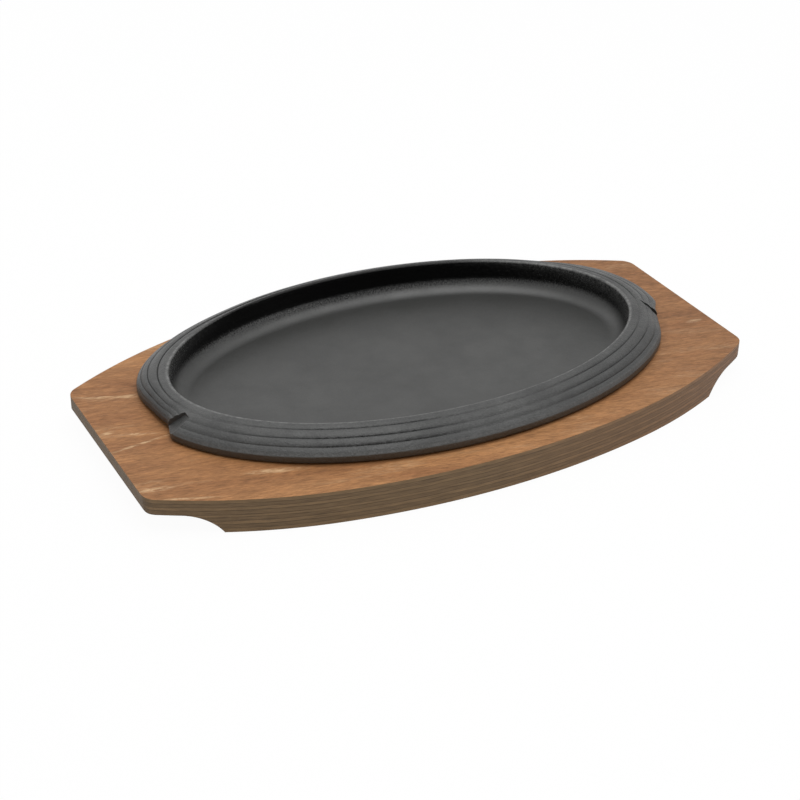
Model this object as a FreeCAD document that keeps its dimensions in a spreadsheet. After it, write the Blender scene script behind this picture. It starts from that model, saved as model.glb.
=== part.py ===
import FreeCAD
import Part

import math
import os

import Sketcher

# Sizzle platter: an oval cast-iron dish standing loose in a recess cut in a plywood board.
# Origin: middle of the board's underside, on the plane of its two feet. X runs along the board,
# Z is up and the front of the platter faces -Y.

doc = FreeCAD.newDocument("sizzle_platter")
sheet = doc.addObject("Spreadsheet::Sheet", "sizes")

# cast-iron dish
sheet.set("B1", "260.8")
sheet.setAlias("B1", "dish_length")
sheet.set("B2", "154.3")
sheet.setAlias("B2", "dish_width")
sheet.set("B3", "17")
sheet.setAlias("B3", "dish_depth")
sheet.set("B4", "3.5")
sheet.setAlias("B4", "iron_wall")
sheet.set("B5", "9")
sheet.setAlias("B5", "dish_cove")
sheet.set("B6", "0.13")
sheet.setAlias("B6", "wall_draft")
sheet.set("B7", "17.3")
sheet.setAlias("B7", "flange_side")
sheet.set("B8", "19.6")
sheet.setAlias("B8", "flange_end")
sheet.set("B9", "1.82")
sheet.setAlias("B9", "flange_curve")
sheet.set("B10", "3.2")
sheet.setAlias("B10", "flange_skin")
sheet.set("B11", "3.1")
sheet.setAlias("B11", "rim_edge")
sheet.set("B12", "0.6")
sheet.setAlias("B12", "rib_swell")
sheet.set("B13", "0.3")
sheet.setAlias("B13", "groove_depth")
sheet.set("B14", "16")
sheet.setAlias("B14", "notch_front")
sheet.set("B15", "4")
sheet.setAlias("B15", "notch_floor")
sheet.set("B16", "18")
sheet.setAlias("B16", "notch_slope")
sheet.set("B17", "1.8")
sheet.setAlias("B17", "notch_depth")

# plywood board, which reaches past the mouth of the dish by its margins
sheet.set("B18", "42.1")
sheet.setAlias("B18", "board_margin_end")
sheet.set("B19", "20.35")
sheet.setAlias("B19", "board_margin_side")
sheet.set("B20", "18")
sheet.setAlias("B20", "board_thickness")
sheet.set("B21", "87.4")
sheet.setAlias("B21", "end_taper")
sheet.set("B22", "417")
sheet.setAlias("B22", "side_radius")
sheet.set("B23", "86")
sheet.setAlias("B23", "side_join")
sheet.set("B24", "9")
sheet.setAlias("B24", "corner_radius")
sheet.set("B25", "0.8")
sheet.setAlias("B25", "edge_round")
sheet.set("B26", "8.5")
sheet.setAlias("B26", "tab_thickness")
sheet.set("B27", "32.5")
sheet.setAlias("B27", "tab_reach")
sheet.set("B28", "22")
sheet.setAlias("B28", "cove_radius")
sheet.set("B29", "4.5")
sheet.setAlias("B29", "end_round")
sheet.set("B30", "7.6")
sheet.setAlias("B30", "recess_depth")
sheet.set("B31", "9")
sheet.setAlias("B31", "recess_back")
sheet.set("B32", "6.6")
sheet.setAlias("B32", "recess_gap_end")
sheet.set("B33", "5.85")
sheet.setAlias("B33", "recess_gap_side")

# where the dish stands in the recess, and how far its rim clears the board
sheet.set("B34", "2.1")
sheet.setAlias("B34", "dish_along")
sheet.set("B35", "11.8")
sheet.setAlias("B35", "dish_back")
sheet.set("B36", "1.5")
sheet.setAlias("B36", "rim_gap")

# worked out from the sizes above: the board and its feet, the recess, the fall of the flange and
# the tighter arc that ends each long side of the board
sheet.set("B37", "=dish_length + 2 * board_margin_end")
sheet.setAlias("B37", "board_length")
sheet.set("B38", "=dish_width + 2 * board_margin_side")
sheet.setAlias("B38", "board_width")
sheet.set("B39", "=board_width - end_taper")
sheet.setAlias("B39", "board_end_width")
sheet.set("B40", "=board_length - 2 * tab_reach")
sheet.setAlias("B40", "foot_spacing")
sheet.set("B41", "=dish_length + 2 * recess_gap_end")
sheet.setAlias("B41", "recess_length")
sheet.set("B42", "=dish_width + 2 * recess_gap_side")
sheet.setAlias("B42", "recess_width")
sheet.set("B43", "=iron_wall + dish_depth - rim_edge - recess_depth - rim_gap")
sheet.setAlias("B43", "flange_drop")
sheet.set("B44", "=sqrt(side_radius^2 - side_join^2) - side_radius + board_width / 2")
sheet.setAlias("B44", "join_height")
sheet.set("B45", "=asin(side_join / side_radius)")
sheet.setAlias("B45", "join_angle")
sheet.set("B46", "=board_length / 2 - side_join")
sheet.setAlias("B46", "end_run")
sheet.set("B47", "=join_height - board_end_width / 2")
sheet.setAlias("B47", "end_fall")
sheet.set("B48", "=sqrt(end_run^2 + end_fall^2) / 2 / sin(atan(end_fall / end_run) - join_angle)")
sheet.setAlias("B48", "end_radius")
doc.recompute()


def value(alias):
    found = sheet.get(alias)
    return float(getattr(found, "Value", found))


board = doc.addObject("PartDesign::Body", "wooden_base")
board.Label = "wooden_base"


def origin_plane(role):
    for item in board.Origin.OriginFeatures:
        if item.Role == role:
            return item
    raise RuntimeError("no origin plane " + role)


def new_sketch(name, role):
    sketch = board.newObject("Sketcher::SketchObject", name)
    sketch.AttachmentSupport = [(origin_plane(role), "")]
    sketch.MapMode = "FlatFace"
    return sketch


def dimension(sketch, kind, places, name, expression, start):
    index = sketch.addConstraint(Sketcher.Constraint(kind, *places, start))
    sketch.renameConstraint(index, name)
    sketch.setExpression("Constraints." + name, expression)


def arc(x, y, radius, start, end):
    circle = Part.Circle(FreeCAD.Vector(x, y, 0), FreeCAD.Vector(0, 0, 1), radius)
    return Part.ArcOfCircle(circle, start, end)


def line(x1, y1, x2, y2):
    return Part.LineSegment(FreeCAD.Vector(x1, y1, 0), FreeCAD.Vector(x2, y2, 0))


# outline of the board: straight ends, rounded corners, each long side three arcs
half = value("board_length") / 2
side = value("side_radius")
drop = side - value("board_width") / 2
join = value("side_join")
tight = value("end_radius")
corner = value("corner_radius")
lean = math.asin(join / side)
side_x = join - tight * math.sin(lean)
side_y = value("join_height") - tight * math.cos(lean)
corner_x = half - corner
corner_y = side_y + math.sqrt((tight - corner) ** 2 - (corner_x - side_x) ** 2)
turn = math.atan2(corner_y - side_y, corner_x - side_x)
top = math.pi / 2 - lean
half_turn = math.pi
full_turn = 2 * math.pi

outline = new_sketch("board_outline", "XY_Plane")
outline.addGeometry(
    [
        line(half, -corner_y, half, corner_y),
        arc(corner_x, corner_y, corner, 0, turn),
        arc(side_x, side_y, tight, turn, top),
        arc(0, -drop, side, top, half_turn - top),
        arc(-side_x, side_y, tight, half_turn - top, half_turn - turn),
        arc(-corner_x, corner_y, corner, half_turn - turn, half_turn),
        line(-half, corner_y, -half, -corner_y),
        arc(-corner_x, -corner_y, corner, half_turn, half_turn + turn),
        arc(-side_x, -side_y, tight, half_turn + turn, half_turn + top),
        arc(0, drop, side, half_turn + top, full_turn - top),
        arc(side_x, -side_y, tight, full_turn - top, full_turn - turn),
        arc(corner_x, -corner_y, corner, full_turn - turn, full_turn),
    ],
    False,
)
for edge in range(12):
    outline.addConstraint(Sketcher.Constraint("Tangent", edge, 2, (edge + 1) % 12, 1))
outline.addConstraint(Sketcher.Constraint("Vertical", 0))
outline.addConstraint(Sketcher.Constraint("Vertical", 6))
for other in (5, 7, 11):
    outline.addConstraint(Sketcher.Constraint("Equal", 1, other))
for other in (4, 8, 10):
    outline.addConstraint(Sketcher.Constraint("Equal", 2, other))
outline.addConstraint(Sketcher.Constraint("Equal", 3, 9))
outline.addConstraint(Sketcher.Constraint("PointOnObject", 3, 3, -2))
outline.addConstraint(Sketcher.Constraint("PointOnObject", 9, 3, -2))
dimension(outline, "DistanceX", (-1, 1, 0, 1), "right_end", "sizes.board_length / 2", half)
dimension(outline, "DistanceX", (6, 1, -1, 1), "left_end", "sizes.board_length / 2", half)
dimension(outline, "Radius", (3,), "long_arc", "sizes.side_radius", side)
dimension(outline, "Radius", (1,), "corner_arc", "sizes.corner_radius", corner)
dimension(outline, "Radius", (2,), "end_arc", "sizes.end_radius", tight)
middle = "sizes.side_radius - sizes.board_width / 2"
dimension(outline, "DistanceY", (3, 3, -1, 1), "back_arc", middle, drop)
dimension(outline, "DistanceY", (-1, 1, 9, 3), "front_arc", middle, drop)
dimension(outline, "DistanceX", (-1, 1, 2, 2), "join_a", "sizes.side_join", join)
dimension(outline, "DistanceX", (4, 1, -1, 1), "join_b", "sizes.side_join", join)
dimension(outline, "DistanceX", (8, 2, -1, 1), "join_c", "sizes.side_join", join)
dimension(outline, "DistanceX", (-1, 1, 10, 1), "join_d", "sizes.side_join", join)

plank = board.newObject("PartDesign::Pad", "plank")
plank.Profile = outline
plank.setExpression("Length", "sizes.board_thickness")
doc.recompute()

# finger hollow under each end: the board thins to a tab, with a cove down to the foot
tab_z = value("board_thickness") - value("tab_thickness")
cove = value("cove_radius")
foot = value("foot_spacing") / 2
round_end = value("end_round")
cove_x = foot + math.sqrt(cove ** 2 - (cove - tab_z) ** 2)
cove_end = half_turn - math.atan2(cove - tab_z, cove_x - foot)
under = new_sketch("finger_profile", "XZ_Plane")
under.addGeometry(
    [
        arc(half - round_end, tab_z + round_end, round_end, half_turn * 1.5, full_turn),
        line(half, tab_z + round_end, half + 2, tab_z + round_end),
        line(half + 2, tab_z + round_end, half + 2, -2),
        line(half + 2, -2, foot, -2),
        line(foot, -2, foot, 0),
        arc(cove_x, tab_z - cove, cove, half_turn / 2, cove_end),
        line(cove_x, tab_z, half - round_end, tab_z),
    ],
    False,
)
for joint in range(4):
    under.addConstraint(Sketcher.Constraint("Coincident", joint, 2, joint + 1, 1))
under.addConstraint(Sketcher.Constraint("Coincident", 4, 2, 5, 2))
under.addConstraint(Sketcher.Constraint("Tangent", 5, 1, 6, 1))
under.addConstraint(Sketcher.Constraint("Tangent", 6, 2, 0, 1))
for level in (1, 3, 6):
    under.addConstraint(Sketcher.Constraint("Horizontal", level))
for upright in (2, 4):
    under.addConstraint(Sketcher.Constraint("Vertical", upright))
under.addConstraint(Sketcher.Constraint("Horizontal", 0, 3, 0, 2))
under.addConstraint(Sketcher.Constraint("PointOnObject", 5, 2, -1))
dimension(under, "DistanceX", (-1, 1, 0, 2), "end_face", "sizes.board_length / 2", half)
dimension(under, "Radius", (0,), "end_arris", "sizes.end_round", round_end)
under_tab = "sizes.board_thickness - sizes.tab_thickness"
dimension(under, "DistanceY", (-1, 1, 5, 1), "tab_under", under_tab, tab_z)
dimension(under, "Radius", (5,), "cove", "sizes.cove_radius", cove)
dimension(under, "DistanceX", (-1, 1, 5, 2), "foot_edge", "sizes.foot_spacing / 2", foot)
under.addConstraint(Sketcher.Constraint("DistanceX", 0, 2, 2, 1, 2.0))
under.addConstraint(Sketcher.Constraint("DistanceY", 3, 2, -1, 1, 2.0))

fingers = board.newObject("PartDesign::Pocket", "finger_hollow")
fingers.Profile = under
fingers.Midplane = True
fingers.setExpression("Length", "sizes.board_width + 20")
doc.recompute()

both_ends = board.newObject("PartDesign::Mirrored", "finger_hollow_both_ends")
both_ends.Originals = [fingers]
both_ends.MirrorPlane = (origin_plane("YZ_Plane"), [""])
board.Tip = both_ends
doc.recompute()

# oval recess for the dish
oval = new_sketch("recess_oval", "XY_Plane")
oval.AttachmentOffset.Base = FreeCAD.Vector(0, 0, value("board_thickness"))
oval.setExpression("AttachmentOffset.Base.z", "sizes.board_thickness")
long_half = value("recess_length") / 2
short_half = value("recess_width") / 2
back = value("recess_back")
oval_end = FreeCAD.Vector(long_half, back, 0)
oval_side = FreeCAD.Vector(0, back + short_half, 0)
oval.addGeometry(Part.Ellipse(oval_end, oval_side, FreeCAD.Vector(0, back, 0)), False)
oval.exposeInternalGeometry(0)
oval.addConstraint(Sketcher.Constraint("Horizontal", 1))
oval.addConstraint(Sketcher.Constraint("PointOnObject", 0, 3, -2))
dimension(oval, "DistanceY", (-1, 1, 0, 3), "centre_back", "sizes.recess_back", back)
dimension(oval, "Distance", (1,), "oval_length", "sizes.recess_length", 2 * long_half)
dimension(oval, "Distance", (2,), "oval_width", "sizes.recess_width", 2 * short_half)

recess = board.newObject("PartDesign::Pocket", "recess")
recess.Profile = oval
recess.setExpression("Length", "sizes.recess_depth")
board.Tip = recess
doc.recompute()

# small round along the top edges of the outline
crown = []
for index, edge in enumerate(recess.Shape.Edges):
    on_top = edge.BoundBox.ZMin > value("board_thickness") - 0.01
    if on_top and not isinstance(edge.Curve, Part.Ellipse):
        crown.append("Edge%d" % (index + 1))
edges = board.newObject("PartDesign::Fillet", "top_round")
edges.Base = (recess, crown)
edges.setExpression("Radius", "sizes.edge_round")
board.Tip = edges
doc.recompute()

# Cast-iron dish, one casting. Every ring below is an oval at one height above the underside of
# the dish, and the rings in order, joined straight, make the whole skin.
crest = "(sizes.iron_wall + sizes.dish_depth)"


def ring(name, along, across, height):
    oval_ring = doc.addObject("Part::Ellipse", name)
    oval_ring.Angle1 = 90
    oval_ring.Angle2 = 90
    oval_ring.setExpression("MajorRadius", along)
    oval_ring.setExpression("MinorRadius", across)
    oval_ring.setExpression("Placement.Base.z", height)
    return oval_ring


def even_ring(name, offset, height):
    return ring(name, "sizes.dish_length / 2 + " + offset, "sizes.dish_width / 2 + " + offset, height)


def flange_ring(name, part, inset, height):
    return ring(
        name,
        "sizes.dish_length / 2 + sizes.flange_end * %g - %s" % (part, inset),
        "sizes.dish_width / 2 + sizes.flange_side * %g - %s" % (part, inset),
        height,
    )


def curve(part):
    return "%s - sizes.flange_drop * pow(%g; sizes.flange_curve)" % (crest, part)


# the outside of the dish from its flat base up a cove and a steep wall to the flange
run = "sizes.wall_draft * (sizes.dish_depth - sizes.dish_cove)"
far = "(sizes.dish_cove + sizes.iron_wall)"
steps = 4
rings = []
for step in range(steps + 1):
    angle = half_turn / 2 * step / steps
    offset = "%s * %.4f - sizes.dish_cove - %s" % (far, math.sin(angle), run)
    rings.append(even_ring("body_cove_%d" % step, offset, "%s * %.4f" % (far, 1 - math.cos(angle))))
wall_top = crest + " - 1.6 - sizes.flange_skin"
rings.append(even_ring("body_top", "sizes.iron_wall - 0.5", wall_top))

# down the underside of the flange, which hangs clear of the wall, and round the rim
rim_foot = curve(1) + " - sizes.rim_edge"
for part in (0.36, 0.58, 0.8):
    name = "under_%d" % (part * 100)
    height = curve(part) + " - sizes.flange_skin * 0.85"
    rings.append(flange_ring(name, part, "sizes.flange_skin * 0.6", height))
rings.append(flange_ring("under_rim", 1, "sizes.flange_skin", curve(1) + " - sizes.flange_skin * 0.6"))
rings.append(flange_ring("rim_inside", 1, "sizes.flange_skin * 0.8", rim_foot))
rings.append(flange_ring("rim_low", 1, "0", rim_foot))
rings.append(flange_ring("rim_high", 1, "0", curve(1) + " - 0.2"))
rings.append(flange_ring("rim_crown", 0.975, "0", curve(0.975) + " + 0.2"))

# up over the ribs to the crest
grooves = (1.0, 0.758, 0.555, 0.35)
for count in range(3):
    inner = grooves[count + 1]
    width = grooves[count] - inner
    for place, lift in ((0.66, 0.9), (0.26, 0.8)):
        part = inner + width * place
        height = curve(part) + " + sizes.rib_swell * %g" % lift
        rings.append(flange_ring("rib_%d_%d" % (count, place * 100), part, "0", height))
    rings.append(flange_ring("groove_%d" % count, inner, "0", curve(inner) + " - sizes.groove_depth"))
rings.append(flange_ring("lip_side", 0.325, "0", crest + " - 0.9"))
rings.append(flange_ring("lip_shoulder", 0.27, "0", crest + " - 0.2"))
rings.append(flange_ring("lip_top", 0.2, "0", crest))
rings.append(even_ring("dish_mouth", "0.9", crest))

# and down inside the dish to its floor
rings.append(even_ring("dish_arris", "0.2", crest + " - 0.25"))
rings.append(even_ring("dish_wall_top", "-0.1", crest + " - 0.9"))
for step in range(steps, -1, -1):
    angle = half_turn / 2 * step / steps
    offset = "sizes.dish_cove * %.4f - sizes.dish_cove - %s" % (math.sin(angle), run)
    height = "sizes.iron_wall + sizes.dish_cove * %.4f" % (1 - math.cos(angle))
    rings.append(even_ring("dish_cove_%d" % step, offset, height))

casting = doc.addObject("Part::Loft", "casting")
casting.Sections = rings
casting.Solid = True
casting.Ruled = True
doc.recompute()


# gripper notch through the ribs at each end: a straight wall at its back, then a floor that
# rises gently to the front
def flange_point(part, lower):
    along = value("dish_length") / 2 + value("flange_end") * part
    across = value("dish_width") / 2 + value("flange_side") * part
    reach = along * math.sqrt(1 - (value("notch_front") / across) ** 2)
    height = value("iron_wall") + value("dish_depth")
    height = height - value("flange_drop") * part ** value("flange_curve") - lower
    return reach, height


inner_reach, inner_height = flange_point(0.5, 0.4)
outer_reach, outer_height = flange_point(1.0, value("notch_depth"))
slope = math.degrees(math.atan2(inner_height - outer_height, outer_reach - inner_reach))
length = math.hypot(inner_height - outer_height, outer_reach - inner_reach)
tall = 6
dish = casting
for name, sign in (("notch_left", -1), ("notch_right", 1)):
    wedge = doc.addObject("Part::Wedge", name)
    wedge.Ymin = 0
    wedge.Ymax = tall
    wedge.Zmin = 0
    wedge.Z2min = 0
    wedge.Zmax = 2 * length
    wedge.Z2max = 2 * length
    floor_width = "sizes.notch_floor"
    mouth_width = "(sizes.notch_floor + %d / tan(sizes.notch_slope * 1 deg))" % tall
    if sign < 0:
        wedge.Xmin = 0
        wedge.X2min = 0
        wedge.setExpression("Xmax", floor_width)
        wedge.setExpression("X2max", mouth_width)
    else:
        wedge.Xmax = 0
        wedge.X2max = 0
        wedge.setExpression("Xmin", "-" + floor_width)
        wedge.setExpression("X2min", "-" + mouth_width)
    outward = FreeCAD.Vector(sign * math.cos(math.radians(slope)), 0, -math.sin(math.radians(slope)))
    upward = FreeCAD.Vector(sign * math.sin(math.radians(slope)), 0, math.cos(math.radians(slope)))
    aside = upward.cross(outward)
    heading = FreeCAD.Rotation(aside, upward, outward, "ZYX")
    start = FreeCAD.Vector(sign * inner_reach, -value("notch_front"), inner_height)
    wedge.Placement = FreeCAD.Placement(start, heading)
    cut = doc.addObject("Part::Cut", name + "_cut")
    cut.Base = dish
    cut.Tool = wedge
    dish = cut
dish.Label = "cast_iron_platter"
seat_z = value("board_thickness") - value("recess_depth")
dish.Placement.Base = FreeCAD.Vector(value("dish_along"), value("dish_back"), seat_z)
dish.setExpression("Placement.Base.x", "sizes.dish_along")
dish.setExpression("Placement.Base.y", "sizes.dish_back")
dish.setExpression("Placement.Base.z", "sizes.board_thickness - sizes.recess_depth")
doc.recompute()

for item in doc.Objects:
    if "Invalid" in item.State or "Error" in item.State:
        raise RuntimeError("%s did not build: %s" % (item.Label, item.State))

os.makedirs("parts", exist_ok=True)
for item in (board, dish):
    shape = item.Shape
    if shape.isNull() or not shape.isValid() or len(shape.Solids) != 1:
        raise RuntimeError("%s is not one sound solid" % item.Label)
    shape.exportStep(os.path.join("parts", item.Label + ".step"))
    print(item.Label, "volume", round(shape.Volume))
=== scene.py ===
import bmesh
import bpy
import math
from mathutils import Matrix, Vector


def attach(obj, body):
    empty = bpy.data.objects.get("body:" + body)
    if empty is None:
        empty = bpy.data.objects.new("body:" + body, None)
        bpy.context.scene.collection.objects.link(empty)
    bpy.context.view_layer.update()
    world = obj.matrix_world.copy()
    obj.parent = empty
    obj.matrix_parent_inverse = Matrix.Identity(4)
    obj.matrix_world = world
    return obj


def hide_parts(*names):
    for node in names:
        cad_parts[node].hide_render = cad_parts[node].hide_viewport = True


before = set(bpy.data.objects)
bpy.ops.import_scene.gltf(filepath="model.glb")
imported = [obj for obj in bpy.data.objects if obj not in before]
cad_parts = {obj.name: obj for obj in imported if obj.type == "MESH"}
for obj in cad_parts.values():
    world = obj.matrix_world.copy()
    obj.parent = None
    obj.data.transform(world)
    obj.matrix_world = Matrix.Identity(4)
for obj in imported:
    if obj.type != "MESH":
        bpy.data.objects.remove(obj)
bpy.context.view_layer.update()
print("frame loaded")


def traceFace(name, points):
    # walks one vertex round the outline, then fills it
    bpy.ops.object.select_all(action="DESELECT")
    bpy.ops.mesh.primitive_plane_add(size=0.001, location=points[0])
    piece = bpy.context.object
    piece.name = name
    bpy.ops.object.mode_set(mode="EDIT")
    bpy.ops.mesh.select_all(action="SELECT")
    bpy.ops.mesh.merge(type="CENTER")
    for here, there in zip(points, points[1:] + points[:1]):
        step = Vector(there) - Vector(here)
        bpy.ops.mesh.extrude_region_move(TRANSFORM_OT_translate={"value": step})
    bpy.ops.mesh.select_all(action="SELECT")
    bpy.ops.mesh.remove_doubles(threshold=0.00002)
    bpy.ops.mesh.edge_face_add()
    return piece


def closeSolid(piece):
    bpy.ops.mesh.select_all(action="SELECT")
    bpy.ops.mesh.remove_doubles(threshold=0.000001)
    bpy.ops.mesh.normals_make_consistent(inside=False)
    bpy.ops.object.mode_set(mode="OBJECT")
    bpy.ops.object.transform_apply(location=True, rotation=True, scale=True)
    return piece


def cutAway(piece, cutter):
    bpy.ops.object.select_all(action="DESELECT")
    piece.select_set(True)
    bpy.context.view_layer.objects.active = piece
    cut = piece.modifiers.new("cut", "BOOLEAN")
    cut.operation = "DIFFERENCE"
    cut.solver = "EXACT"
    cut.object = cutter
    bpy.ops.object.modifier_apply(modifier=cut.name)
    bpy.data.objects.remove(cutter)


def arcPoints(centre, radius, start, end, count):
    spread = [start + (end - start) * i / count for i in range(count + 1)]
    return [(centre[0] + radius * math.cos(a), centre[1] + radius * math.sin(a)) for a in spread]


# plywood board
woodenBoard = {
    "length": 0.345,
    "width": 0.195,
    "endWidth": 0.1076,      # where the long sides would meet the straight ends
    "thickness": 0.018,
    "sideRadius": 0.417,
    "sideJoin": 0.086,
    "cornerRadius": 0.009,
    "tab": 0.0085,
    "footSpacing": 0.280,
    "coveRadius": 0.022,
    "endRound": (0.0018, 0.0052),    # left end, right end
    "recess": (0.274, 0.166),
    "recessDepth": 0.0076,
    "recessBack": 0.009,
    "arris": 0.0008,
}


def boardOutline(b):
    half = b["length"] / 2
    lean = math.asin(b["sideJoin"] / b["sideRadius"])
    drop = b["sideRadius"] - b["width"] / 2
    joinY = b["sideRadius"] * math.cos(lean) - drop
    run = half - b["sideJoin"]
    fall = joinY - b["endWidth"] / 2
    tight = math.hypot(run, fall) / 2 / math.sin(math.atan2(fall, run) - lean)
    sideX = b["sideJoin"] - tight * math.sin(lean)
    sideY = joinY - tight * math.cos(lean)
    corner = b["cornerRadius"]
    cornerX = half - corner
    cornerY = sideY + math.sqrt((tight - corner) ** 2 - (cornerX - sideX) ** 2)
    turn = math.atan2(cornerY - sideY, cornerX - sideX)
    top = math.pi / 2 - lean
    quarter = arcPoints((cornerX, cornerY), corner, 0, turn, 12)
    quarter += arcPoints((sideX, sideY), tight, turn, top, 24)[1:]
    quarter += arcPoints((0, -drop), b["sideRadius"], top, math.pi / 2, 24)[1:]
    back = quarter + [(-x, y) for x, y in reversed(quarter[:-1])]
    return back + [(-x, -y) for x, y in back]


def fingerHollow(b, side):
    half = b["length"] / 2
    under = b["thickness"] - b["tab"]
    cove = b["coveRadius"]
    foot = b["footSpacing"] / 2
    coveX = foot + math.sqrt(cove ** 2 - (cove - under) ** 2)
    coveEnd = math.pi - math.atan2(cove - under, coveX - foot)
    end = b["endRound"][(side + 1) // 2]
    below, beyond, cutterHalf = -0.003, half + 0.002, 0.12     # the cutter reaches past the board
    profile = [(foot, below)]
    profile += arcPoints((coveX, under - cove), cove, coveEnd, math.pi / 2, 20)
    profile += arcPoints((half - end, under + end), end, -math.pi / 2, 0, 8)
    profile += [(beyond, under + end), (beyond, below)]
    cutter = traceFace("fingerCutter", [(side * x, -cutterHalf, z) for x, z in profile])
    bpy.ops.mesh.extrude_region_move(TRANSFORM_OT_translate={"value": (0, 2 * cutterHalf, 0)})
    return closeSolid(cutter)


def buildBoard(b):
    board = traceFace("woodenBoard", [(x, y, 0) for x, y in boardOutline(b)])
    bpy.ops.mesh.extrude_region_move(TRANSFORM_OT_translate={"value": (0, 0, b["thickness"])})
    closeSolid(board)
    for side in (-1, 1):
        cutAway(board, fingerHollow(b, side))
    # oval recess the dish stands in
    bpy.ops.object.select_all(action="DESELECT")
    tall = 0.02
    bpy.ops.mesh.primitive_cylinder_add(vertices=256, radius=0.5, depth=tall)
    recess = bpy.context.object
    bpy.ops.object.mode_set(mode="EDIT")
    bpy.ops.mesh.select_all(action="SELECT")
    bpy.ops.transform.resize(value=(b["recess"][0], b["recess"][1], 1), center_override=(0, 0, 0))
    floor = b["thickness"] - b["recessDepth"]
    bpy.ops.transform.translate(value=(0, b["recessBack"], floor + tall / 2))
    closeSolid(recess)
    cutAway(board, recess)
    edges = board.modifiers.new("arris", "BEVEL")
    edges.width = b["arris"]
    edges.segments = 3
    edges.limit_method = "ANGLE"
    edges.angle_limit = math.radians(40)
    bpy.ops.object.modifier_apply(modifier=edges.name)
    bpy.ops.object.shade_smooth_by_angle(angle=math.radians(50))
    even = board.modifiers.new("even", "WEIGHTED_NORMAL")
    even.keep_sharp = True
    bpy.ops.object.modifier_apply(modifier=even.name)
    return board


# cast-iron dish
ironDish = {
    "place": (0.0021, 0.0118, 0.0104),
    "mouth": (0.13, 0.0763),
    "mouthShift": (-0.0019, -0.0006),   # the bowl sits a little off the middle of the rim
    "mouthTurn": -1.4,                  # and turned by this many degrees
    "depth": 0.017,
    "wall": 0.0035,
    "cove": 0.009,
    "draft": 0.13,
    "rimHalves": (0.15, 0.09445),
    "flangeDrop": 0.0083,
    "flangeCurve": 1.82,
    "skin": 0.0032,
    "rim": 0.0038,
    "grooves": (0.27, 0.545, 0.77),
    "bulge": 0.0008,                    # ribs reach further out at the ends
    "rib": 0.0004,
    "groove": 0.0006,
    "lastRib": 1.02,                    # where the outermost rib would end, just past the rim
    "lipEdge": 0.0009,                  # how far the arris stands back from the mouth
    "lipRound": 0.0011,
    "rimRound": 0.0011,
    "rimShoulder": 0.0008,
    "footRound": 0.0005,
    "around": 384,
    "backPinch": (0.5, 0.06),           # how much narrower the lip and the skirt are at the back
    "backFall": 0.12,                   # and how much faster they fall
    "backFrom": (24, 40),               # degrees round the rim between which that sets in
    "backTo": (158, 120),
    "hinge": 0.3,                       # the flange is squeezed towards this place beside a notch
    "backHinge": 0.05,
    # worn ribs: degrees where the wear sets in, is full, starts to end and is over, and how much
    "wornSpans": [(252, 266, 283, 297, 0.85), (180, 191, 200, 222, 1), (318, 338, 345, 352, 1)],
}

# gripper notch at each end: the foot of its steep wall from lip to rim, how far the rim is pinched
# in beside it, and how far the flange is lifted behind it
leftNotch = {
    "side": -1,
    "wall": ((-0.1352, -0.0200), (-0.1440, -0.0146)),
    "floor": (0.0006, 0.0023),
    "widen": 1.7,
    "pinch": 0.31,
    "pinchBack": (0.036, -0.002),
    "pinchFront": (-0.027, -0.013),
    "lift": 0.0014,
    "liftBack": (0.024, -0.010),
}
rightNotch = {
    "side": 1,
    "wall": ((0.1338, -0.0196), (0.1395, -0.0262)),
    "floor": (0.0002, 0.0008),
    "widen": 1.7,
    "pinch": 0.14,
    "pinchBack": (-0.014, -0.024),
    "pinchFront": (-0.055, -0.031),
    "lift": 0.0012,
    "liftBack": (0.055, 0.025),
}


def flangeHeight(d, part):
    return d["wall"] + d["depth"] - d["flangeDrop"] * part ** d["flangeCurve"]


def rimFoot(d):
    # a little under the rim's lower edge
    return flangeHeight(d, 1) - d["rim"] - 0.001


def ribMarks(d):
    return d["grooves"] + (d["lastRib"],)


def ribHeight(d, part):
    # three rounded ribs between narrow grooves, the outermost running over the rim
    marks = ribMarks(d)
    for inner, outer in zip(marks, marks[1:]):
        if inner <= part <= outer:
            place = (part - inner) / (outer - inner)
            return (d["rib"] + d["groove"]) * math.sin(math.pi * place) ** 0.3 - d["groove"]
    return 0


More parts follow.
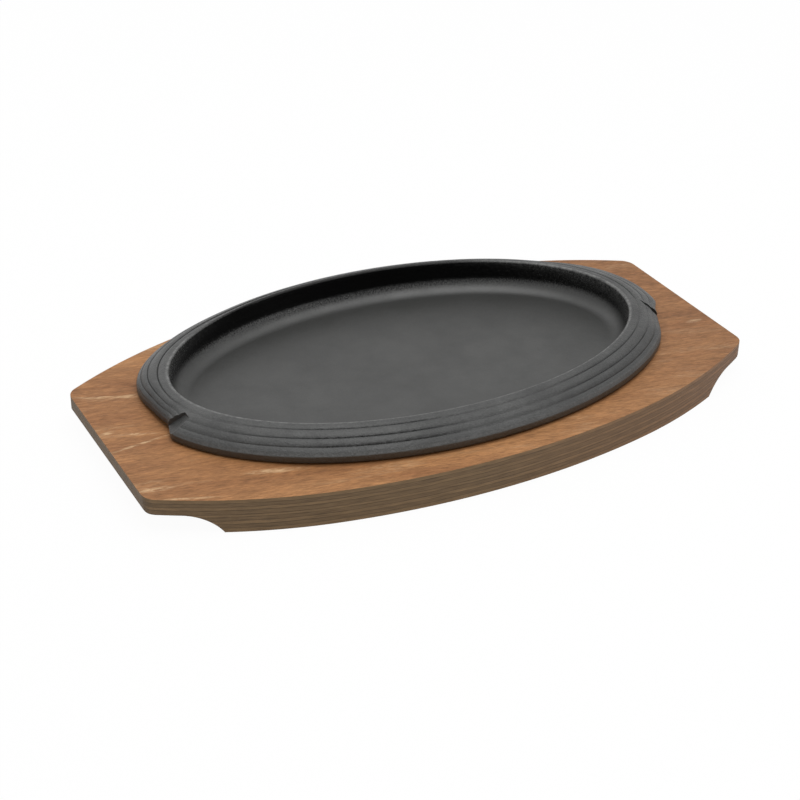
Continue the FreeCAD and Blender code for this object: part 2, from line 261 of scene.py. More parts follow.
def dishRings(d):
    # (length half, width half, height, how far it follows the bowl), from the underside round
    # to the floor
    longHalf, shortHalf = d["mouth"]
    top = d["wall"] + d["depth"]
    run = d["draft"] * (d["depth"] - d["cove"])

    def even(offset, height):
        return (longHalf + offset, shortHalf + offset, height, 1)

    def flange(part, inset, height):
        bulge = d["bulge"] * 4 * part * (1 - part)
        along = longHalf + (d["rimHalves"][0] - longHalf) * part + bulge - inset
        across = shortHalf + (d["rimHalves"][1] - shortHalf) * part - inset
        return (along, across, height, 1 - min(part, 1) ** 4)

    rings = []
    flat = even(-d["cove"] - run, 0)
    for share in (0.02, 0.2, 0.4, 0.6, 0.8, 0.92):
        rings.append((flat[0] * share, flat[1] * share, 0, 1))
    outside = d["cove"] + d["wall"]
    for step in range(13):
        angle = math.pi / 2 * step / 12
        rings.append(even(outside * math.sin(angle) - d["cove"] - run, outside * (1 - math.cos(angle))))
    rings.append(even(d["wall"] - 0.0005, top - 0.0046))
    for part in (0.36, 0.43, 0.5, 0.58, 0.66, 0.75, 0.84, 0.93):
        rings.append(flange(part, d["skin"] * 0.6, flangeHeight(d, part) - d["skin"] * 0.85))
    rimTop = flangeHeight(d, 1)
    foot = rimTop - d["rim"]
    rings.append(flange(1, d["skin"], rimTop - d["skin"] * 0.6))
    rings.append(flange(1, d["skin"] * 0.9, foot + 0.0003))
    rings.append(flange(1, d["skin"] * 0.8, foot))
    # rim edge, rounded at its foot and more at its top
    for step in range(5):
        angle = math.pi / 2 * step / 4
        inset = d["footRound"] * (1 - math.sin(angle))
        rings.append(flange(1, inset, foot + d["footRound"] * (1 - math.cos(angle))))
    rings.append(flange(1, 0, foot + d["rim"] * 0.45))
    for step in range(6):
        angle = math.radians(52) * step / 5
        inset = d["rimRound"] * (1 - math.cos(angle))
        rings.append(flange(1, inset, rimTop - d["rimShoulder"] + d["rimRound"] * math.sin(angle)))
    # up over the ribs, close together beside the grooves
    marks = ribMarks(d)
    for inner, outer in reversed(list(zip(marks, marks[1:]))):
        for place in (0.8, 0.68, 0.56, 0.44, 0.32, 0.2, 0.11, 0.05, 0.02, 0):
            part = inner + (outer - inner) * place
            if outer > 1 and place > 0.75:
                continue
            rings.append(flange(part, 0, flangeHeight(d, part) + ribHeight(d, part)))
        if inner != d["grooves"][0]:
            for place in (0.98, 0.95, 0.89):
                lower = marks[marks.index(inner) - 1]
                part = lower + (inner - lower) * place
                rings.append(flange(part, 0, flangeHeight(d, part) + ribHeight(d, part)))
    # rounded lip between the first groove and the mouth
    low = rings[-1][2]
    for step in range(1, 11):
        angle = math.pi / 2 * step / 10
        part = d["grooves"][0] - 0.005 - 0.205 * (1 - math.cos(angle))
        rings.append(flange(part, 0, low + (top - low) * math.sin(angle) ** 0.9))
    # over the inner arris and down the wall
    for step in range(7):
        angle = math.radians(84) * step / 6
        offset = d["lipEdge"] - d["lipRound"] * math.sin(angle)
        rings.append(even(offset, top - d["lipRound"] * (1 - math.cos(angle))))
    low = d["wall"] + d["cove"]
    start = rings[-1]
    for share in (0.3, 0.55, 0.8):
        offset = (start[0] - longHalf) * (1 - share) - run * share
        rings.append(even(offset, start[2] + (low - start[2]) * share))
    for step in range(14, -1, -1):
        angle = math.pi / 2 * step / 14
        offset = d["cove"] * math.sin(angle) - d["cove"] - run
        rings.append(even(offset, d["wall"] + d["cove"] * (1 - math.cos(angle))))
    floor = rings[-1]
    for share in (0.94, 0.86, 0.76, 0.64, 0.5, 0.35, 0.2, 0.08, 0.02):
        rings.append((floor[0] * share, floor[1] * share, d["wall"], 1))
    return rings


def ringCentre(d, ring):
    return Vector((d["mouthShift"][0] * ring[3], d["mouthShift"][1] * ring[3], ring[2]))


def easeBetween(value, start, end):
    share = min(max((value - start) / (end - start), 0), 1)
    return share * share * (3 - 2 * share)


def flangeHalves(d, part):
    return [low + (high - low) * part for low, high in zip(d["mouth"], d["rimHalves"])]


def flangePart(d, x, y):
    # how far out on the flange a place is: 0 at the mouth, 1 at the rim
    low, high = -1.0, 2.0
    for halving in range(24):
        part = (low + high) / 2
        along, across = flangeHalves(d, part)
        if (x / along) ** 2 + (y / across) ** 2 > 1:
            low = part
        else:
            high = part
    return part, math.atan2(y / across, x / along)


def selectOnly(grid, members):
    bpy.ops.mesh.select_all(action="DESELECT")
    grid.verts.ensure_lookup_table()
    for index in members:
        grid.verts[index].select_set(True)
    grid.select_flush(True)


def pinchFlange(d, dish, n):
    # squeezes the ribs towards the lip, one column of vertices after another
    columns = {}
    for vertex in dish.data.vertices:
        x, y, z = vertex.co
        if x * n["side"] > 0.1 and abs(y) < 0.07:
            part, angle = flangePart(d, x, y)
            if part > d["hinge"] and z > rimFoot(d):
                columns.setdefault(round(angle * d["around"] / math.tau), []).append(vertex.index)
    bpy.ops.object.mode_set(mode="EDIT")
    grid = bmesh.from_edit_mesh(dish.data)
    for column, members in columns.items():
        angle = math.tau * column / d["around"]
        rimY = d["rimHalves"][1] * math.sin(angle)
        pinch = n["pinch"] * easeBetween(rimY, *n["pinchBack"]) * easeBetween(rimY, *n["pinchFront"])
        notchY = n["wall"][1][1]
        lift = n["lift"] * easeBetween(rimY, *n["liftBack"])
        lift *= easeBetween(rimY, notchY - 0.005, notchY - 0.002)
        if pinch < 0.001 and lift < 0.00001:
            continue
        selectOnly(grid, members)
        along, across = flangeHalves(d, d["hinge"])
        hinge = (along * math.cos(angle), across * math.sin(angle), flangeHeight(d, d["hinge"]))
        squeeze = 1 - pinch / (1 - d["hinge"])
        flatten = 1 - lift / (flangeHeight(d, d["hinge"]) - flangeHeight(d, 1))
        bpy.ops.transform.resize(value=(squeeze, squeeze, flatten), center_override=hinge)
    bpy.ops.object.mode_set(mode="OBJECT")


def notchCutter(d, n):
    # straight wall at the back, gentle slope at the front, narrow at the lip and wide at the rim
    inner, outer = n["wall"]
    start = Vector((inner[0], inner[1], flangeHeight(d, flangePart(d, *inner)[0]) - n["floor"][0]))
    end = Vector((outer[0], outer[1], flangeHeight(d, 1) - n["floor"][1]))
    end += (end - start) * 0.5
    section = [(0.0, 0.0), (0.0, 0.009), (-0.0125, 0.009)]
    section += [(-0.0062, 0.0016), (-0.0044, 0.0005), (-0.0028, 0.0)]
    cutter = traceFace("notchCutter", [(start.x, start.y + y, start.z + z) for y, z in section])
    bpy.ops.mesh.extrude_region_move(TRANSFORM_OT_translate={"value": end - start})
    bpy.ops.transform.resize(value=(1, n["widen"], 1), center_override=end)
    return closeSolid(cutter)


def turnRing(degrees, centre):
    # without a window this operator turns clockwise
    bpy.ops.transform.rotate(value=-math.radians(degrees), orient_axis="Z", center_override=centre)


def pinchBack(d, dish):
    # behind the bowl the flange is a little narrower and falls faster
    columns = {}
    for vertex in dish.data.vertices:
        x, y, z = vertex.co
        if y > 0.03 and z > rimFoot(d):
            part, angle = flangePart(d, x, y)
            if part > 0.055:
                lip, skirt = columns.setdefault(round(angle * d["around"] / math.tau), ([], []))
                (lip if part < d["grooves"][0] - 0.002 else skirt).append(vertex.index)
    bpy.ops.object.mode_set(mode="EDIT")
    grid = bmesh.from_edit_mesh(dish.data)
    for column, groups in columns.items():
        angle = math.tau * column / d["around"]
        degrees = math.degrees(angle)
        amount = easeBetween(degrees, *d["backFrom"]) * easeBetween(degrees, *d["backTo"])
        if amount < 0.01:
            continue
        along, across = flangeHalves(d, d["backHinge"])
        height = flangeHeight(d, d["backHinge"])
        hinge = Vector((along * math.cos(angle), across * math.sin(angle), height))
        narrow = 1 - d["backPinch"][0] * amount
        for members, squeeze in zip(groups, (narrow, 1 - d["backPinch"][1] * amount)):
            selectOnly(grid, members)
            grow = (squeeze, squeeze, 1 + d["backFall"] * amount)
            bpy.ops.transform.resize(value=grow, center_override=hinge)
            if squeeze == narrow:
                # the skirt starts where the narrower lip ends
                along, across = flangeHalves(d, d["grooves"][0])
                outer = Vector((along * math.cos(angle), across * math.sin(angle), hinge.z))
                step = (hinge - outer) * (d["backPinch"][0] - d["backPinch"][1]) * amount
        bpy.ops.transform.translate(value=step)
    bpy.ops.object.mode_set(mode="OBJECT")


def softenRibs(d, dish):
    # ribs worn nearly smooth in the middle of the front, and beside each notch
    soft = dish.vertex_groups.new(name="soft")
    rimLow = flangeHeight(d, 1) - d["rim"] * 0.4
    for vertex in dish.data.vertices:
        x, y, z = vertex.co
        if z < rimLow or y > 0.02:
            continue
        part, angle = flangePart(d, x, y)
        if not 0.16 < part < 0.95:
            continue
        degrees = math.degrees(angle) % 360
        weight = 0.0
        for start, full, ending, end, most in d["wornSpans"]:
            here = easeBetween(degrees, start, full) * easeBetween(degrees, end, ending) * most
            weight = max(weight, here)
        weight = weight * easeBetween(part, 0.16, 0.24) * easeBetween(part, 0.95, 0.9)
        if weight > 0.01:
            soft.add([vertex.index], weight, "REPLACE")
    worn = dish.modifiers.new("worn", "SMOOTH")
    worn.factor = 0.5
    worn.iterations = 24
    worn.vertex_group = "soft"
    bpy.ops.object.modifier_apply(modifier=worn.name)
    dish.vertex_groups.clear()


def buildDish(d):
    rings = dishRings(d)
    bpy.ops.object.select_all(action="DESELECT")
    bpy.ops.mesh.primitive_circle_add(vertices=d["around"], radius=1, fill_type="NOTHING")
    dish = bpy.context.object
    dish.name = "ironDish"
    bpy.ops.object.mode_set(mode="EDIT")
    bpy.ops.mesh.select_all(action="SELECT")
    bpy.ops.transform.resize(value=(rings[0][0], rings[0][1], 1), center_override=(0, 0, 0))
    bpy.ops.mesh.edge_face_add()
    turnRing(d["mouthTurn"], (0, 0, 0))
    bpy.ops.transform.translate(value=ringCentre(d, rings[0]))
    for here, there in zip(rings, rings[1:]):
        centre = ringCentre(d, there)
        rise = centre - ringCentre(d, here)
        bpy.ops.mesh.extrude_region_move(TRANSFORM_OT_translate={"value": rise})
        grow = (there[0] / here[0], there[1] / here[1], 1)
        bpy.ops.transform.resize(value=grow, center_override=centre)
        if there[3] != here[3]:
            turnRing(d["mouthTurn"] * (there[3] - here[3]), centre)
    closeSolid(dish)
    softenRibs(d, dish)
    pinchBack(d, dish)
    for notch in (leftNotch, rightNotch):
        pinchFlange(d, dish, notch)
        cutAway(dish, notchCutter(d, notch))
    dish.location = d["place"]
    bpy.ops.object.transform_apply(location=True, rotation=True, scale=True)
    bpy.ops.object.shade_smooth_by_angle(angle=math.radians(38))
    return dish


# short ways to add shader nodes
def addNode(tree, kind, **settings):
    node = tree.nodes.new(kind)
    for name, content in settings.items():
        setattr(node, name, content)
    return node


def newMaterial(name):
    made = bpy.data.materials.new(name)
    made.use_nodes = True
    tree = made.node_tree
    return made, tree, tree.nodes["Principled BSDF"]


def stretched(tree, scale, place=(0, 0, 0), turn=0.0):
    # object coordinates in a frame turned about Z (degrees), then scaled
    where = addNode(tree, "ShaderNodeTexCoord")
    mapped = addNode(tree, "ShaderNodeMapping", vector_type="TEXTURE")
    mapped.inputs["Scale"].default_value = [1 / amount for amount in scale]
    mapped.inputs["Location"].default_value = place
    mapped.inputs["Rotation"].default_value = (0, 0, math.radians(turn))
    tree.links.new(where.outputs["Object"], mapped.inputs["Vector"])
    return mapped.outputs["Vector"]


def noise(tree, vector, scale, detail=4.0, rough=0.55, warp=0.0):
    made = addNode(tree, "ShaderNodeTexNoise")
    made.inputs["Scale"].default_value = scale
    made.inputs["Detail"].default_value = detail
    made.inputs["Roughness"].default_value = rough
    made.inputs["Distortion"].default_value = warp
    tree.links.new(vector, made.inputs["Vector"])
    return made.outputs["Fac"]


def ramp(tree, value, stops):
    made = addNode(tree, "ShaderNodeValToRGB")
    band = made.color_ramp
    while len(band.elements) < len(stops):
        band.elements.new(0.5)
    for element, (place, colour) in zip(band.elements, stops):
        element.position = place
        element.color = tuple(colour) + (1,) if len(colour) == 3 else (colour[0],) * 3 + (1,)
    tree.links.new(value, made.inputs["Fac"])
    return made.outputs["Color"]


def blendColours(tree, factor, first, second, kind="MIX"):
    made = addNode(tree, "ShaderNodeMix", data_type="RGBA", blend_type=kind)
    sockets = (made.inputs[0], made.inputs[6], made.inputs[7])
    for socket, content in zip(sockets, (factor, first, second)):
        if isinstance(content, (int, float)):
            socket.default_value = content
        elif isinstance(content, tuple):
            socket.default_value = content + (1,)
        else:
            tree.links.new(content, socket)
    return made.outputs[2]


def sums(tree, kind, first, second=0.0, clamp=False):
    made = addNode(tree, "ShaderNodeMath", operation=kind, use_clamp=clamp)
    for socket, content in zip(made.inputs, (first, second)):
        if isinstance(content, (int, float)):
            socket.default_value = content
        else:
            tree.links.new(content, socket)
    return made.outputs[0]


def oval(tree, centre, halves, turn):
    # how far from the centre in plan, 1 on the oval with these halves
    where = addNode(tree, "ShaderNodeTexCoord")
    mapped = addNode(tree, "ShaderNodeMapping", vector_type="TEXTURE")
    mapped.inputs["Location"].default_value = (centre[0], centre[1], 0)
    mapped.inputs["Rotation"].default_value = (0, 0, math.radians(turn))
    mapped.inputs["Scale"].default_value = (halves[0], halves[1], 1000)
    tree.links.new(where.outputs["Object"], mapped.inputs["Vector"])
    length = addNode(tree, "ShaderNodeVectorMath", operation="LENGTH")
    tree.links.new(mapped.outputs["Vector"], length.inputs[0])
    return length.outputs["Value"]


def band(tree, value, stops):
    # smooth mask from a value: (value, amount) stops, read over 0 to 2
    halved = [(place / 2, (amount,)) for place, amount in stops]
    return ramp(tree, sums(tree, "MULTIPLY", value, 0.5), halved)


def shadeBy(tree, amount, colour, value, stops):
    # multiplies a colour by grey steps
    return blendColours(tree, amount, colour, ramp(tree, value, stops), "MULTIPLY")


def axesOf(tree, kind, output):
    # X, Y and Z of the object coordinates or of the normal
    source = addNode(tree, kind)
    parts = addNode(tree, "ShaderNodeSeparateXYZ")
    tree.links.new(source.outputs[output], parts.inputs[0])
    return parts.outputs


stainedPly = {
    "light": (0.418, 0.200, 0.078),
    "dark": (0.252, 0.104, 0.037),
    "cream": (0.72, 0.48, 0.27),
    "pore": (0.20, 0.085, 0.036),
    "arris": (0.16, 0.072, 0.030),
    # painted contact shadow under the front of the dish's rim
    "rimShadow": (0.10, 0.036, 0.008),
    "edgeLight": (0.205, 0.128, 0.062),
    "edgeDark": (0.082, 0.052, 0.0265),
    "rightFace": (0.80, 0.80, 0.83),
    "rightEdge": (1.10, 0.90, 0.84),
    "lean": -12,              # degrees, grain of the face veneer against the board
    # how often each pattern repeats, along the grain and across it
    "figure": (6, 42, 42),
    "fibre": (200, 1250, 1250),
    "mottle": (75, 260, 260),
    "pores": (150, 1500, 1500),
    "ragged": (190, 900, 900),
    "faint": (14, 80, 80),
    "edgeFibre": (110, 110, 1500),
    "plies": (0.0023, 0.0043, 0.0063, 0.0083, 0.0097, 0.0121, 0.0139, 0.0159),
    "plyWander": 0.0009,
    # pale flecks of the veneer: centre, half length, half width, turn
    "flecks": [
        (-0.1576, 0.0416, 0.0151, 0.0010, -24),
        (-0.1460, 0.0370, 0.0042, 0.0014, -18),
        (-0.1690, 0.0077, 0.0041, 0.0014, 8),
        (-0.1543, 0.0009, 0.0083, 0.0009, -20),
        (-0.1570, -0.0080, 0.0151, 0.0008, 6),
        (-0.1654, -0.0482, 0.0080, 0.0018, -11),
        (-0.1543, -0.0621, 0.0126, 0.0008, -21),
        (-0.1080, -0.0587, 0.0120, 0.0017, -17),
        (0.1624, -0.0240, 0.0041, 0.0016, -1),
    ],
}


def plywoodMaterial(p, b, d):
    made, tree, surface = newMaterial("stainedPly")
    lean = p["lean"]
    middle = tuple((a + b) / 2 for a, b in zip(p["light"], p["dark"]))
    # broad figure, running along the board
    figure = noise(tree, stretched(tree, p["figure"], (0, 0, 0), lean), 1.0, 6, 0.62, 0.7)
    face = ramp(tree, figure, [(0.28, p["dark"]), (0.48, middle), (0.66, p["light"])])
    # fibres, short and fine
    fibres = noise(tree, stretched(tree, p["fibre"], (0, 0, 0), lean), 1.0, 4, 0.7, 0.3)
    face = shadeBy(tree, 0.75, face, fibres, [(0.3, (0.5,)), (0.5, (0.98,)), (0.7, (1.45,))])
    mottle = noise(tree, stretched(tree, p["mottle"], (1, 4, 0), lean), 1.0, 4, 0.65, 0.5)
    face = shadeBy(tree, 0.6, face, mottle, [(0.3, (0.74,)), (0.7, (1.24,))])
    # short dark pores
    pores = noise(tree, stretched(tree, p["pores"], (3, 1, 0), lean), 1.0, 2, 0.5)
    poreMask = ramp(tree, pores, [(0.29, (1,)), (0.37, (0,))])
    face = blendColours(tree, sums(tree, "MULTIPLY", poreMask, 0.65), face, p["pore"])
    # pale flecks, ragged at their edges, and a few faint ones between them
    ragged = noise(tree, stretched(tree, p["ragged"], (0.7, 0.31, 0), lean), 1.0, 4, 0.65, 0.6)
    flecks = 0.0
    for x, y, halfLength, halfWidth, turn in p["flecks"]:
        spot = oval(tree, (x, y), (halfLength, halfWidth), turn)
        near = band(tree, spot, [(0.2, 1), (1.0, 0.45), (1.5, 0)])
        flecks = sums(tree, "MAXIMUM", flecks, near)
    broken = ramp(tree, ragged, [(0.42, (0.1,)), (0.6, (1,))])
    rare = noise(tree, stretched(tree, p["faint"], (2.2, 5.1, 0), lean), 1.0, 3, 0.6)
    faint = sums(tree, "MULTIPLY", ramp(tree, rare, [(0.57, (0,)), (0.7, (1,))]), 0.4)
    pale = sums(tree, "MULTIPLY", sums(tree, "MAXIMUM", flecks, faint), broken)
    face = blendColours(tree, sums(tree, "MULTIPLY", pale, 0.9), face, p["cream"])
    # plies on the edges: dark glue lines that wander a little, every other ply darker
    place = axesOf(tree, "ShaderNodeTexCoord", "Object")
    normal = axesOf(tree, "ShaderNodeNewGeometry", "Normal")
    wander = noise(tree, stretched(tree, (22, 22, 22)), 1.0, 2, 0.5)
    wander = sums(tree, "MULTIPLY", sums(tree, "SUBTRACT", wander, 0.5), p["plyWander"])
    share = sums(tree, "DIVIDE", sums(tree, "ADD", place["Z"], wander), b["thickness"])
    stops, tone = [], 0.15
    for line in p["plies"]:
        level = line / b["thickness"]
        stops += [(level - 0.018, (tone,)), (level, (1,))]
        tone = 0.62 - tone
        stops += [(level + 0.018, (tone,))]
    edge = blendColours(tree, ramp(tree, share, stops), p["edgeLight"], p["edgeDark"])
    edgeFibres = noise(tree, stretched(tree, p["edgeFibre"]), 1.0, 4, 0.65)
    edge = shadeBy(tree, 0.8, edge, edgeFibres, [(0.3, (0.6,)), (0.7, (1.35,))])
    # darker on the top towards the right end, and redder on the edge there
    across = sums(tree, "ADD", sums(tree, "MULTIPLY", place["X"], 2.9), 0.5)
    rightward = ramp(tree, across, [(0.45, (0,)), (0.95, (1,))])
    face = blendColours(tree, rightward, face, p["rightFace"], "MULTIPLY")
    edge = blendColours(tree, rightward, edge, p["rightEdge"], "MULTIPLY")
    endFace = ramp(tree, sums(tree, "ABSOLUTE", normal["X"]), [(0.75, (0,)), (0.95, (0.55,))])
    edge = blendColours(tree, endFace, edge, p["edgeDark"])
    # faces that look up or down show the veneer, the others the plies, with a darker line between
    upright = sums(tree, "ABSOLUTE", normal["Z"])
    flat = ramp(tree, upright, [(0.7, (0,)), (0.97, (1,))])
    colour = blendColours(tree, flat, edge, face)
    arris = ramp(tree, upright, [(0.25, (0,)), (0.55, (0.75,)), (0.85, (0.75,)), (0.99, (0,))])
    colour = blendColours(tree, arris, colour, p["arris"])
    # painted contact shadow: a dark line on the top of the board under the front of the dish's rim
    rim = oval(tree, d["place"], d["rimHalves"], 0)
    rimShadow = band(tree, rim, [(0.98, 0), (0.99, 0.65), (1.006, 0.6), (1.019, 0)])
    upward = ramp(tree, normal["Z"], [(0.7, (0,)), (0.97, (1,))])
    rimShadow = sums(tree, "MULTIPLY", rimShadow, upward)
    front = ramp(tree, sums(tree, "MULTIPLY", place["Y"], -10), [(0.46, (0,)), (0.6, (1,))])
    colour = blendColours(tree, sums(tree, "MULTIPLY", rimShadow, front), colour, p["rimShadow"])
    tree.links.new(colour, surface.inputs["Base Color"])
    surface.inputs["Specular IOR Level"].default_value = 0.3
    tree.links.new(ramp(tree, fibres, [(0.3, (0.66,)), (0.7, (0.52,))]), surface.inputs["Roughness"])
    bump = addNode(tree, "ShaderNodeBump")
    bump.inputs["Strength"].default_value = 0.6
    bump.inputs["Distance"].default_value = 0.00015
    tree.links.new(sums(tree, "SUBTRACT", fibres, poreMask), bump.inputs["Height"])
    tree.links.new(bump.outputs[0], surface.inputs["Normal"])
    return made


castIron = {
    "dark": (0.0095, 0.0098, 0.0092),
    "light": (0.0285, 0.029, 0.0265),
    "grainDark": (0.0045, 0.0048, 0.0044),
    "grainLight": (0.031, 0.032, 0.030),
    # painted shade: nearly black, on the wall, in the grooves and on steep sides
    "wall": (0.0015, 0.0015, 0.0015),
    # painted highlight colour for the lines on the crest and along the rim
    "worn": (0.19, 0.19, 0.185),
    "side": (0.026, 0.018, 0.010),
    "rough": (0.40, 0.52),
    # how dark the painted shade in the front grooves is
    "grooveShade": 0.85,
    "wallRough": 0.14,
    "wallMetal": 0.8,          # takes the gloss away where shade is painted
    "grain": 0.0008,
}


def ironMaterial(p, d):
    made, tree, surface = newMaterial("castIron")
    plain = stretched(tree, (1, 1, 1))
    clouds = noise(tree, plain, 45, 5, 0.6)
    speck = noise(tree, plain, 1150, 3, 0.7)
    soft, sharp = sums(tree, "MULTIPLY", clouds, 0.4), sums(tree, "MULTIPLY", speck, 0.6)
    mixed = sums(tree, "ADD", soft, sharp)
    smooth = ramp(tree, mixed, [(0.3, p["dark"]), (0.66, p["light"])])
    grainy = ramp(tree, mixed, [(0.42, p["grainDark"]), (0.58, p["grainLight"])])
    # the bowl's mouth and the rim, seen from above
    bowl = [a + b for a, b in zip(d["place"], d["mouthShift"])]
    mouth = oval(tree, bowl, d["mouth"], d["mouthTurn"])
    rim = oval(tree, d["place"], d["rimHalves"], 0)
    outside = band(tree, mouth, [(0.99, 0), (1.01, 1)])
    colour = blendColours(tree, outside, smooth, grainy)
    normal = axesOf(tree, "ShaderNodeNewGeometry", "Normal")
    place = axesOf(tree, "ShaderNodeTexCoord", "Object")
    steep = ramp(tree, normal["Z"], [(0.2, (1,)), (0.62, (0,))])
    far = ramp(tree, sums(tree, "MULTIPLY", place["Y"], 10), [(0.56, (0,)), (0.76, (1,))])
    near = sums(tree, "SUBTRACT", 1, far)
    # painted shade: nearly black on the steep wall inside the mouth and on the far lip, less where the
    # wall turns sideways
    broken = sums(tree, "MULTIPLY", sums(tree, "SUBTRACT", speck, 0.5), 0.9)
    sideways = sums(tree, "MULTIPLY", sums(tree, "ABSOLUTE", normal["X"]), 0.4)
    facing = sums(tree, "ADD", sums(tree, "ADD", normal["Z"], sideways), broken)
    shaded = ramp(tree, facing, [(0.3, (1,)), (0.78, (0,))])
    wall = sums(tree, "MULTIPLY", shaded, band(tree, mouth, [(1.004, 1), (1.009, 0)]))
    lip = band(tree, mouth, [(0.992, 0), (0.998, 0.8), (1.05, 0.8), (1.07, 0)])
    wall = sums(tree, "MAXIMUM", wall, sums(tree, "MULTIPLY", far, lip))
    # painted shade in the grooves of the front, most of it on the left
    grooveShade = 0.0
    for part in d["grooves"]:
        share = 1 - part ** 4
        halves = flangeHalves(d, part)
        halves[0] += d["bulge"] * 4 * part * (1 - part)
        centre = [a + b * share for a, b in zip(d["place"], d["mouthShift"])]
        line = oval(tree, centre, halves, d["mouthTurn"] * share)
        line = band(tree, line, [(0.988, 0), (0.996, 1), (1.001, 1), (1.009, 0)])
        grooveShade = sums(tree, "MAXIMUM", grooveShade, line)
    along = sums(tree, "ADD", sums(tree, "MULTIPLY", place["X"], 4), 0.5)
    spread = [(0.08, 0), (0.18, 1), (0.36, 1), (0.46, 0.12)]
    spread += [(0.62, 0.12), (0.72, 0.5), (0.86, 0.5), (0.95, 0)]
    spread = ramp(tree, along, [(x, (amount,)) for x, amount in spread])
    grooveShade = sums(tree, "MULTIPLY", grooveShade, spread)
    front = sums(tree, "MULTIPLY", place["Y"], -10)
    front = ramp(tree, front, [(0.3, (0,)), (0.45, (p["grooveShade"],))])
    uneven = ramp(tree, noise(tree, plain, 420, 3, 0.6), [(0.35, (0.35,)), (0.6, (1,))])
    grooveShade = sums(tree, "MULTIPLY", sums(tree, "MULTIPLY", grooveShade, front), uneven)
    wall = sums(tree, "MAXIMUM", wall, grooveShade)
    colour = blendColours(tree, wall, colour, p["wall"])
    tree.links.new(sums(tree, "MULTIPLY", wall, p["wallMetal"]), surface.inputs["Metallic"])
    # painted shade: darker on the steep sides of ribs and notches, on the left most
    riser = sums(tree, "MULTIPLY", steep, band(tree, mouth, [(1.03, 0), (1.05, 1)]))
    riser = sums(tree, "MULTIPLY", riser, band(tree, rim, [(0.98, 1), (0.992, 0)]))
    leftward = ramp(tree, sums(tree, "ADD", place["X"], 0.5), [(0.4, (0.75,)), (0.6, (0.3,))])
    colour = blendColours(tree, sums(tree, "MULTIPLY", riser, leftward), colour, p["wall"])
    outerRib = sums(tree, "MULTIPLY", band(tree, rim, [(0.9, 0), (0.97, 0.4)]), outside)
    colour = blendColours(tree, outerRib, colour, p["grainDark"])
    # painted highlight: light lines on the crest of the lip and along the rim, near side only, patchy
    # like wear
    wear = ramp(tree, noise(tree, plain, 500, 3, 0.6), [(0.4, (0.25,)), (0.62, (1,))])
    crest = band(tree, mouth, [(0.996, 0), (1.002, 1), (1.007, 1), (1.015, 0)])
    crest = sums(tree, "MULTIPLY", crest, wear)
    rimLine = band(tree, rim, [(0.985, 0), (0.994, 1), (0.9985, 1), (0.9999, 0)])
    rimLine = sums(tree, "MULTIPLY", sums(tree, "MULTIPLY", rimLine, wear), 0.35)
    worn = sums(tree, "MULTIPLY", sums(tree, "MAXIMUM", crest, rimLine), near)
    colour = blendColours(tree, sums(tree, "MULTIPLY", worn, 0.9), colour, p["worn"])
    # brownish side of the rim
    side = sums(tree, "MULTIPLY", steep, band(tree, rim, [(0.95, 0), (0.99, 1)]))
    colour = blendColours(tree, side, colour, p["side"])
    tree.links.new(colour, surface.inputs["Base Color"])
    low, high = p["rough"]
    rough = ramp(tree, clouds, [(0.35, (high,)), (0.65, (low,))])
    rough = blendColours(tree, wall, rough, (p["wallRough"],) * 3)
    tree.links.new(rough, surface.inputs["Roughness"])
    surface.inputs["IOR"].default_value = 1.6
    # sand-cast skin: fine grain over larger soft unevenness
    coarse = noise(tree, plain, 320, 3, 0.5)
    skin = sums(tree, "ADD", sums(tree, "MULTIPLY", speck, 0.7), sums(tree, "MULTIPLY", coarse, 0.6))
    skin = sums(tree, "MULTIPLY", skin, sums(tree, "ADD", sums(tree, "MULTIPLY", outside, 0.75), 0.25))
    bump = addNode(tree, "ShaderNodeBump")
    bump.inputs["Strength"].default_value = 0.6
    bump.inputs["Distance"].default_value = p["grain"]
    tree.links.new(skin, bump.inputs["Height"])
    tree.links.new(bump.outputs[0], surface.inputs["Normal"])
    return made


board = buildBoard(woodenBoard)
board.data.materials.clear()
board.data.materials.append(plywoodMaterial(stainedPly, woodenBoard, ironDish))
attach(board, "root")
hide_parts("wooden_base")
print("board built", len(board.data.polygons))

dish = buildDish(ironDish)
dish.data.materials.clear()
dish.data.materials.append(ironMaterial(castIron, ironDish))
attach(dish, "root")
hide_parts("cast_iron_platter")
print("dish built", len(dish.data.polygons))

# camera, lamps and the white ground
studio = {
    "cameraPlace": (-0.388970, -0.692453, 0.470644),
    "cameraRight": (0.881827, -0.471226, 0.018054),
    "cameraUp": (0.227881, 0.459337, 0.858533),
    "lens": 78.124,
    "key": ((0.12, -0.2, 1.5), 1.3, 14.0),
    "side": ((1.1, -1.15, 0.3), 0.8, 2.2),
    "back": ((-0.3, 1.1, 1.0), 0.8, 2.6),
    "fill": 0.4,
    "groundSize": 30,
    "groundGlow": 0.96,
}


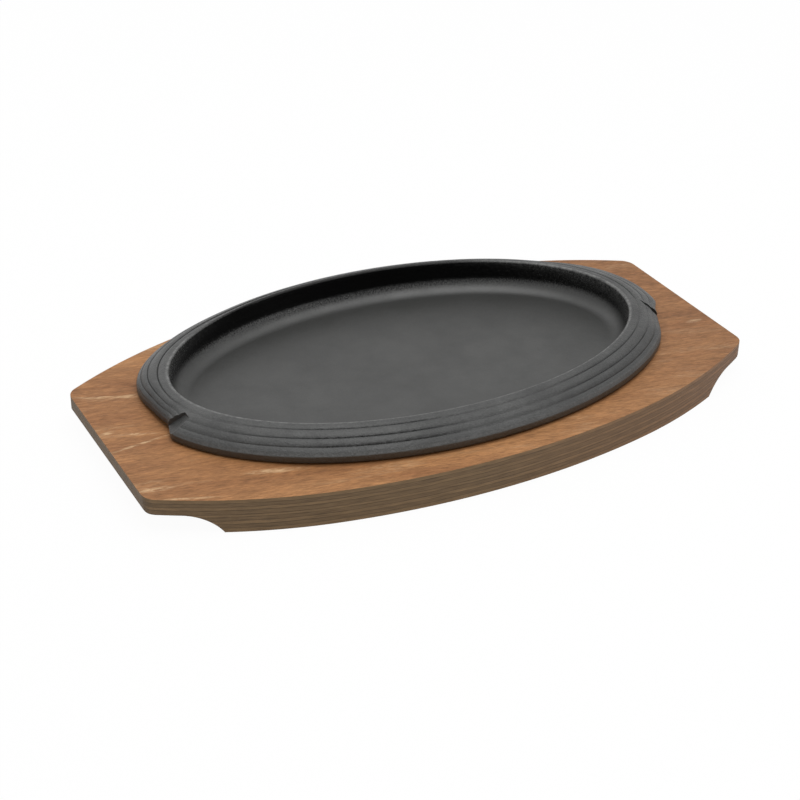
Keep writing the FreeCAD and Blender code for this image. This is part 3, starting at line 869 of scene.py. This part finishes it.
def placeCamera(s):
    bpy.ops.object.select_all(action="DESELECT")
    bpy.ops.object.camera_add(location=s["cameraPlace"])
    camera = bpy.context.object
    right = Vector(s["cameraRight"]).normalized()
    up = Vector(s["cameraUp"]).normalized()
    back = right.cross(up)
    turn = Matrix((right, up, back)).transposed().to_4x4()
    camera.matrix_world = Matrix.Translation(s["cameraPlace"]) @ turn
    camera.data.sensor_width = 36
    camera.data.lens = s["lens"]
    camera.data.clip_end = 50
    bpy.context.scene.camera = camera


def addLamp(name, place, size, power):
    bpy.ops.object.light_add(type="AREA", location=place)
    lamp = bpy.context.object
    lamp.name = name
    lamp.data.size = size
    lamp.data.energy = power
    lamp.rotation_euler = (-Vector(place)).to_track_quat("-Z", "Y").to_euler()


def whiteSeen(tree):
    # 1 for what the camera and the reflections see, 0 for the light that falls on things
    path = addNode(tree, "ShaderNodeLightPath")
    seen = sums(tree, "MAXIMUM", path.outputs["Is Camera Ray"], path.outputs["Is Glossy Ray"])
    return sums(tree, "MAXIMUM", seen, path.outputs["Is Transmission Ray"])


def whiteGround(s):
    bpy.ops.mesh.primitive_plane_add(size=s["groundSize"])
    ground = bpy.context.object
    ground.name = "ground"
    made, tree, surface = newMaterial("ground")
    surface.inputs["Base Color"].default_value = (1, 1, 1, 1)
    surface.inputs["Roughness"].default_value = 0.9
    surface.inputs["Specular IOR Level"].default_value = 0
    glow = addNode(tree, "ShaderNodeEmission")
    both = addNode(tree, "ShaderNodeMixShader")
    tree.links.new(sums(tree, "MULTIPLY", whiteSeen(tree), s["groundGlow"]), both.inputs[0])
    tree.links.new(surface.outputs[0], both.inputs[1])
    tree.links.new(glow.outputs[0], both.inputs[2])
    tree.links.new(both.outputs[0], tree.nodes["Material Output"].inputs["Surface"])
    ground.data.materials.append(made)


def softWorld(s):
    world = bpy.data.worlds.new("studio")
    world.use_nodes = True
    tree = world.node_tree
    air = tree.nodes["Background"]
    strength = sums(tree, "ADD", sums(tree, "MULTIPLY", whiteSeen(tree), 1 - s["fill"]), s["fill"])
    tree.links.new(strength, air.inputs["Strength"])
    air.inputs["Color"].default_value = (1, 1, 1, 1)
    bpy.context.scene.world = world


placeCamera(studio)
addLamp("keyLamp", *studio["key"])
addLamp("sideLamp", *studio["side"])
addLamp("backLamp", *studio["back"])
whiteGround(studio)
softWorld(studio)
bpy.context.scene.view_settings.view_transform = "Standard"
print("studio set")
